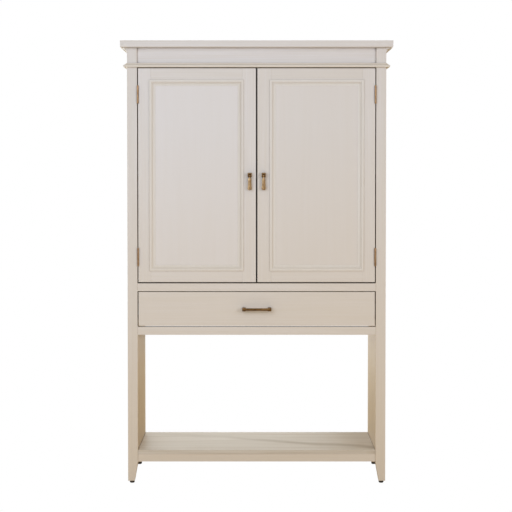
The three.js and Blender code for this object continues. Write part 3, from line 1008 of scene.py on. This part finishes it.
@dataclass
class Carcass:
    """Legs, sides, back, rails and shelves, with shelf pins, pin holes and back screws."""

    shop: Workshop
    screws: NodeTool
    pins: NodeTool
    drill: NodeTool
    hole_pitch: float = 32 * MM
    holes: int = 7
    pin_inset: float = 60 * MM
    back_screws: tuple[int, int] = (6, 7)
    back_margin: float = 22 * MM
    back_relief: float = 1.0 * MM
    back_face_depth: float = 0.1 * MM
    pin_bite: float = 1.5 * MM
    back_head: Span = (3.5 * MM, 0.5 * MM)

    def build(self) -> None:
        """Builds the carcass's pieces."""
        for end in ("front", "rear"):
            for side in Side:
                inwards = (-side.value, 0, 0)
                self.shop.board(f"leg_{end}_{side.word}", Axis.Z, ease=0.8 * MM, washed=inwards)
                self.shop.rounded(f"glide_{end}_{side.word}", Axis.Z, Finish.NYLON)
        for node in ("middle_rail", "lower_rail", "low_shelf_rail"):
            self.shop.board(node, Axis.X)
        self.shop.board("cabinet_deck", Axis.X)
        self.shop.board("adjustable_shelf", Axis.X)
        self.shop.board("low_shelf_board", Axis.X, Finish.WASHED, ease=1.2 * MM)
        self._back_panel()
        for side in Side:
            self._side_panel(side)
        self._shelf_pins()
        self._back_screws()

    def _back_panel(self) -> None:
        """The back panel, thinned on its back so that its screw heads stay within the carcass."""
        _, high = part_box("back_panel")
        shape = self.shop.copied("back_panel")
        for vertex in shape.verts:
            if vertex.co.y > high.y - self.back_face_depth:
                vertex.co.y = high.y - self.back_relief
        ease_edges(shape, 0.4 * MM)
        lay_grain(shape, Axis.Z, seed="back_panel")
        self.shop.finished(
            shape, "finished_back_panel", Finish.HARDBOARD, "carcass", ("back_panel",)
        )

    def _pin_columns(self) -> Span:
        """The front and rear places of the two columns of pins, along Y."""
        low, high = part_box("adjustable_shelf")
        return low.y + self.pin_inset, high.y - self.pin_inset

    def _side_panel(self, side: Side) -> None:
        """A side panel with its two columns of shelf-pin holes."""
        node = f"side_panel_{side.word}"
        front, rear = self._pin_columns()
        shelf_low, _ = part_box("adjustable_shelf")
        shape = self.shop.copied(node)
        ease_edges(shape, 0.8 * MM)
        lay_grain(shape, Axis.Z, seed=node)
        leave_wash(shape, (-side.value, 0, 0))
        blank = bpy.data.meshes.new(node)
        shape.to_mesh(blank)
        shape.free()
        low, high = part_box(node)
        inner = low.x if side is Side.RIGHT else high.x
        drilled = self.drill.run(
            blank, f"finished_{node}", column_gap=rear - front,
            column_height=self.hole_pitch * (self.holes - 1), holes=self.holes,
            centre=(inner, (front + rear) / 2, shelf_low.z - HOLE_RADIUS),
            material=self.shop.material(Finish.PAINT),
        )
        body = self.shop.body_of(node)
        self.shop.adopted(drilled, f"finished_{node}", Finish.PAINT, body, (node,))

    def _shelf_pins(self) -> None:
        """Four pins that hold the adjustable shelf."""
        low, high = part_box("adjustable_shelf")
        places = [
            (x, y, low.z - PEG_RADIUS)
            for x in (low.x + self.pin_bite, high.x - self.pin_bite)
            for y in self._pin_columns()
        ]
        self.shop.repeated(
            self.pins, "shelf_pins", places, (1, 0, 0), Finish.BRASS, "carcass",
            peg_radius=PEG_RADIUS,
        )

    def _back_screws(self) -> None:
        """Screws round the edge of the back panel."""
        low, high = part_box("back_panel")
        across, up = self.back_screws
        xs = spread(low.x, high.x, self.back_margin, across)
        zs = spread(low.z, high.z, self.back_margin, up)
        back = high.y - self.back_relief
        places = [(x, back, z) for x in xs for z in (zs[0], zs[-1])]
        places += [(x, back, z) for x in (xs[0], xs[-1]) for z in zs[1:-1]]
        radius, height = self.back_head
        self.shop.repeated(
            self.screws, "back_screws", places, (0, 1, 0), Finish.STEEL, "carcass",
            head_radius=radius, head_height=height,
        )


@dataclass
class Door:
    """One framed door with its hinges, screws and strike plate."""

    shop: Workshop
    screws: NodeTool
    side: Side
    screw_heights: tuple[float, ...] = (-22 * MM, 0.0, 22 * MM)
    screw_depth: float = 15 * MM
    leaf_gap: float = 1 * MM
    head: Span = (2.6 * MM, 0.3 * MM)
    plate_reach: float = 16 * MM
    plate_heights: Span = (2 * MM, 14 * MM)

    def build(self) -> None:
        """Builds the door's pieces."""
        word = self.side.word
        for part, grain in (
            ("hinge_stile", Axis.Z), ("lock_stile", Axis.Z), ("top_rail", Axis.X),
            ("bottom_rail", Axis.X),
        ):
            self.shop.board(f"{word}_door_{part}", grain, ease=0.35 * MM)
        self.shop.board(f"{word}_door_panel", Axis.Z, Finish.PANEL)
        self.shop.rounded(f"{word}_door_moulding", Axis.Z, Finish.MOULDING, crease=28.0)
        for level in ("upper", "lower"):
            for part in ("frame_leaf", "door_leaf", "pin"):
                self.shop.rounded(f"{word}_{level}_hinge_{part}", Axis.Z, Finish.COPPERY)
        self._hinge_screws("frame_leaf", "carcass", -self.side.value)
        self._hinge_screws("door_leaf", f"{word}_door", self.side.value)
        self._strike_plate()

    def _hinge_screws(self, leaf: str, body: str, towards: int) -> None:
        """The screws in one kind of leaf of both hinges.

        Args:
            leaf: Which leaf.
            body: The body that the leaf moves with.
            towards: The way along X that the screw heads face.
        """
        places = []
        leg_low, leg_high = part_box(f"leg_front_{self.side.word}")
        stile_low, stile_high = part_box(f"{self.side.word}_door_hinge_stile")
        if self.side is Side.RIGHT:
            gap_middle = (leg_low.x + stile_high.x) / 2
        else:
            gap_middle = (leg_high.x + stile_low.x) / 2
        leaf_face = gap_middle - towards * self.leaf_gap / 2
        for level in ("upper", "lower"):
            low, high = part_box(f"{self.side.word}_{level}_hinge_{leaf}")
            middle = (low.z + high.z) / 2
            depth = high.y - self.screw_depth / 2
            places += [(leaf_face, depth, middle + rise) for rise in self.screw_heights]
        radius, height = self.head
        self.shop.repeated(
            self.screws, f"{self.side.word}_{leaf}_screws", places, (towards, 0, 0),
            Finish.COPPERY, body, head_radius=radius, head_height=height,
        )

    def _strike_plate(self) -> None:
        """The steel plate behind the door that its magnetic catch holds."""
        stile_low, stile_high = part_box(f"{self.side.word}_door_lock_stile")
        middle = (stile_low.x + stile_high.x) / 2
        shape = bmesh.new()
        bottom, top = (stile_low.z + height for height in self.plate_heights)
        back = stile_high.y + PLATE_THICKNESS
        box_mesh(
            shape,
            (middle - self.plate_reach, stile_high.y, bottom),
            (middle + self.plate_reach, back, top),
        )
        ease_edges(shape, 0.3 * MM)
        lay_grain(shape, Axis.X, seed="strike_plate")
        name = f"{self.side.word}_strike_plate"
        self.shop.finished(shape, name, Finish.STEEL, f"{self.side.word}_door")


@dataclass
class Catches:
    """The magnetic catch on the deck behind the doors' meeting stiles."""

    shop: Workshop
    width: float = 96 * MM
    depth: float = 14 * MM
    height: float = 13 * MM
    clearance: float = 0.4 * MM

    def build(self) -> None:
        """Builds the catch's housing."""
        _, deck_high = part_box("cabinet_deck")
        _, stile_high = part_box("left_door_lock_stile")
        front = stile_high.y + PLATE_THICKNESS + self.clearance
        shape = bmesh.new()
        box_mesh(
            shape,
            (-self.width / 2, front, deck_high.z),
            (self.width / 2, front + self.depth, deck_high.z + self.height),
        )
        ease_edges(shape, 1.2 * MM, segments=3)
        lay_grain(shape, Axis.X, seed="catch")
        self.shop.finished(shape, "magnetic_catch", Finish.NYLON, "carcass")


@dataclass
class DropPull:
    """A door's pull: a dark forked post and the brass pendant that hangs from it."""

    shop: Workshop
    side: Side

    def build(self) -> None:
        """Builds the pull's two pieces."""
        word = self.side.word
        self.shop.rounded(f"{word}_pull_post", Axis.Z, Finish.BRONZE, ease=1.4 * MM, crease=40.0)
        self.shop.rounded(f"{word}_pull_pendant", Axis.Z, Finish.BRASS, ease=1.2 * MM, crease=40.0)


@dataclass
class Drawer:
    """The drawer's painted front, its box, pull, slides and their screws."""

    shop: Workshop
    screws: NodeTool
    slide_screws: tuple[float, ...] = (0.035, 0.13, 0.225)
    web_depth: float = 1.25 * MM
    head: Span = (3.5 * MM, 1.2 * MM)

    def build(self) -> None:
        """Builds the drawer's pieces."""
        self.shop.board("drawer_front", Axis.X, ease=0.45 * MM)
        for side in Side:
            self.shop.board(f"drawer_side_{side.word}", Axis.Y, Finish.POPLAR)
            self.shop.board(f"slide_channel_{side.word}", Axis.Y, Finish.STEEL, ease=0.15 * MM)
            self.shop.board(f"slide_runner_{side.word}", Axis.Y, Finish.STEEL, ease=0.15 * MM)
        self.shop.board("drawer_back", Axis.X, Finish.POPLAR)
        self.shop.board("drawer_bottom", Axis.X, Finish.POPLAR, ease=0.3 * MM)
        self.shop.rounded("drawer_pull", Axis.X, Finish.BRONZE, ease=2.2 * MM, crease=40.0)
        for side in Side:
            self._runner_screws(side)

    def _runner_screws(self, side: Side) -> None:
        """The screws that hold one runner to the drawer's side."""
        low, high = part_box(f"slide_runner_{side.word}")
        web = low.x + self.web_depth if side is Side.RIGHT else high.x - self.web_depth
        middle = (low.z + high.z) / 2
        places = [(web, low.y + reach, middle) for reach in self.slide_screws]
        radius, height = self.head
        self.shop.repeated(
            self.screws, f"runner_screws_{side.word}", places, (side.value, 0, 0),
            Finish.STEEL, "drawer", head_radius=radius, head_height=height,
        )


# ---- Studio ----
@dataclass(frozen=True)
class Lamp:
    """A square soft lamp."""

    name: str
    place: Direction
    target: Direction
    size: float
    power: float
    colour: str

    def build(self) -> None:
        """Builds the lamp, pointed at its target and unseen by the camera."""
        light = bpy.data.lights.new(self.name, "AREA")
        light.size = self.size
        light.energy = self.power
        light.color = linear(self.colour)[:3]
        holder = new_object(self.name, light)
        holder.location = self.place
        holder.rotation_mode = "QUATERNION"
        aim = Vector(self.target) - Vector(self.place)
        holder.rotation_quaternion = aim.to_track_quat("-Z", "Y")
        holder.visible_camera = False


@dataclass
class Studio:
    """A white floor, soft lamps on every side and above, and a long lens above the middle."""

    camera_distance: float = 5.2
    camera_side: float = -2.45 * MM
    camera_height: float = 1.1773
    view_width: float = 1.9042
    pitch: float = 1.75
    horizon_rise: float = 0.1709
    floor_colour: str = "#dbc8a6"
    room_colour: str = "#ffefcc"
    room_strength: float = 0.42
    floor_reach: float = 30.0
    lamps: tuple[Lamp, ...] = (
        Lamp("key_softbox", (2.3, -3.4, 1.7), (-0.2, 0.0, 1.2), 1.4, 42.0, "#e9f0ff"),
        Lamp("front_softbox", (-1.0, -2.8, 1.6), (-0.25, 0.0, 1.45), 2.2, 45.0, "#d0e4ff"),
        Lamp("back_wall", (-0.7, 3.0, 0.8), (0.0, 0.2, 0.35), 2.5, 44.0, "#f4fcff"),
        Lamp("top_softbox", (0.0, 0.12, 3.2), (0.0, 0.12, 1.65), 0.6, 12.0, "#e6f0ff"),
        Lamp("left_softbox", (-3.2, 0.35, 1.4), (-0.5, 0.0, 1.1), 0.9, 18.0, "#dcebff"),
        Lamp("right_softbox", (3.2, 0.35, 1.4), (0.5, 0.0, 1.1), 0.9, 18.0, "#dcebff"),
    )

    def build(self) -> None:
        """Builds the floor, the lights and the camera."""
        self._floor()
        self._world()
        for lamp in self.lamps:
            lamp.build()
        self._camera()
        bpy.context.scene.view_settings.view_transform = "Standard"

    def _floor(self) -> None:
        """A pale floor that the camera sees as plain white."""
        mesh = bpy.data.meshes.new("floor")
        reach = self.floor_reach
        corners = [(-reach, -reach, 0), (reach, -reach, 0), (reach, reach, 0), (-reach, reach, 0)]
        mesh.from_pydata(corners, [], [(0, 1, 2, 3)])
        floor = new_object("floor", mesh)
        material, tree = new_material("white_paper_floor")
        paper = add_node(tree, "ShaderNodeBsdfDiffuse", {"Color": linear(self.floor_colour)})
        output_surface(tree, seen_as_white(tree, paper, "ShaderNodeEmission"))
        mesh.materials.append(material)

    def _world(self) -> None:
        """Even soft light from all round, which the camera sees as plain white."""
        world = bpy.data.worlds.new("studio")
        bpy.context.scene.world = world
        world.use_nodes = True
        tree = world.node_tree
        tree.nodes.clear()
        room = {"Color": linear(self.room_colour), "Strength": self.room_strength}
        soft = add_node(tree, "ShaderNodeBackground", room)
        both = seen_as_white(tree, soft, "ShaderNodeBackground")
        add_node(tree, "ShaderNodeOutputWorld", {"Surface": both.outputs[0]})

    def _camera(self) -> None:
        """Aims the camera slightly down, with the rest of the drop taken by a lens shift."""
        low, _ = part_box("leg_front_left")
        camera = bpy.data.cameras.new("camera")
        camera.sensor_width = 36.0
        camera.lens = camera.sensor_width * self.camera_distance / self.view_width
        camera.clip_end = 100.0
        tilt = math.radians(self.pitch)
        tilt_rise = math.tan(tilt) * camera.lens / camera.sensor_width
        camera.shift_y = tilt_rise - self.horizon_rise
        holder = new_object("camera", camera)
        holder.location = (self.camera_side, low.y - self.camera_distance, self.camera_height)
        holder.rotation_euler = (math.radians(90) - tilt, 0.0, 0.0)
        bpy.context.scene.camera = holder


def main() -> None:
    """Builds the studio and every sub-assembly of the cabinet."""
    logging.basicConfig(level=logging.INFO, format="%(name)s: %(message)s")
    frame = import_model()
    shop = Workshop(frame)
    Studio().build()
    screws = screw_tool()
    Crown(shop).build()
    Carcass(shop, screws, pin_tool(), drill_tool()).build()
    for side in Side:
        Door(shop, screws, side).build()
        DropPull(shop, side).build()
    Catches(shop).build()
    Drawer(shop, screws).build()
    log.info("%d pieces made", shop.made)


if __name__ == "__main__":
    main()
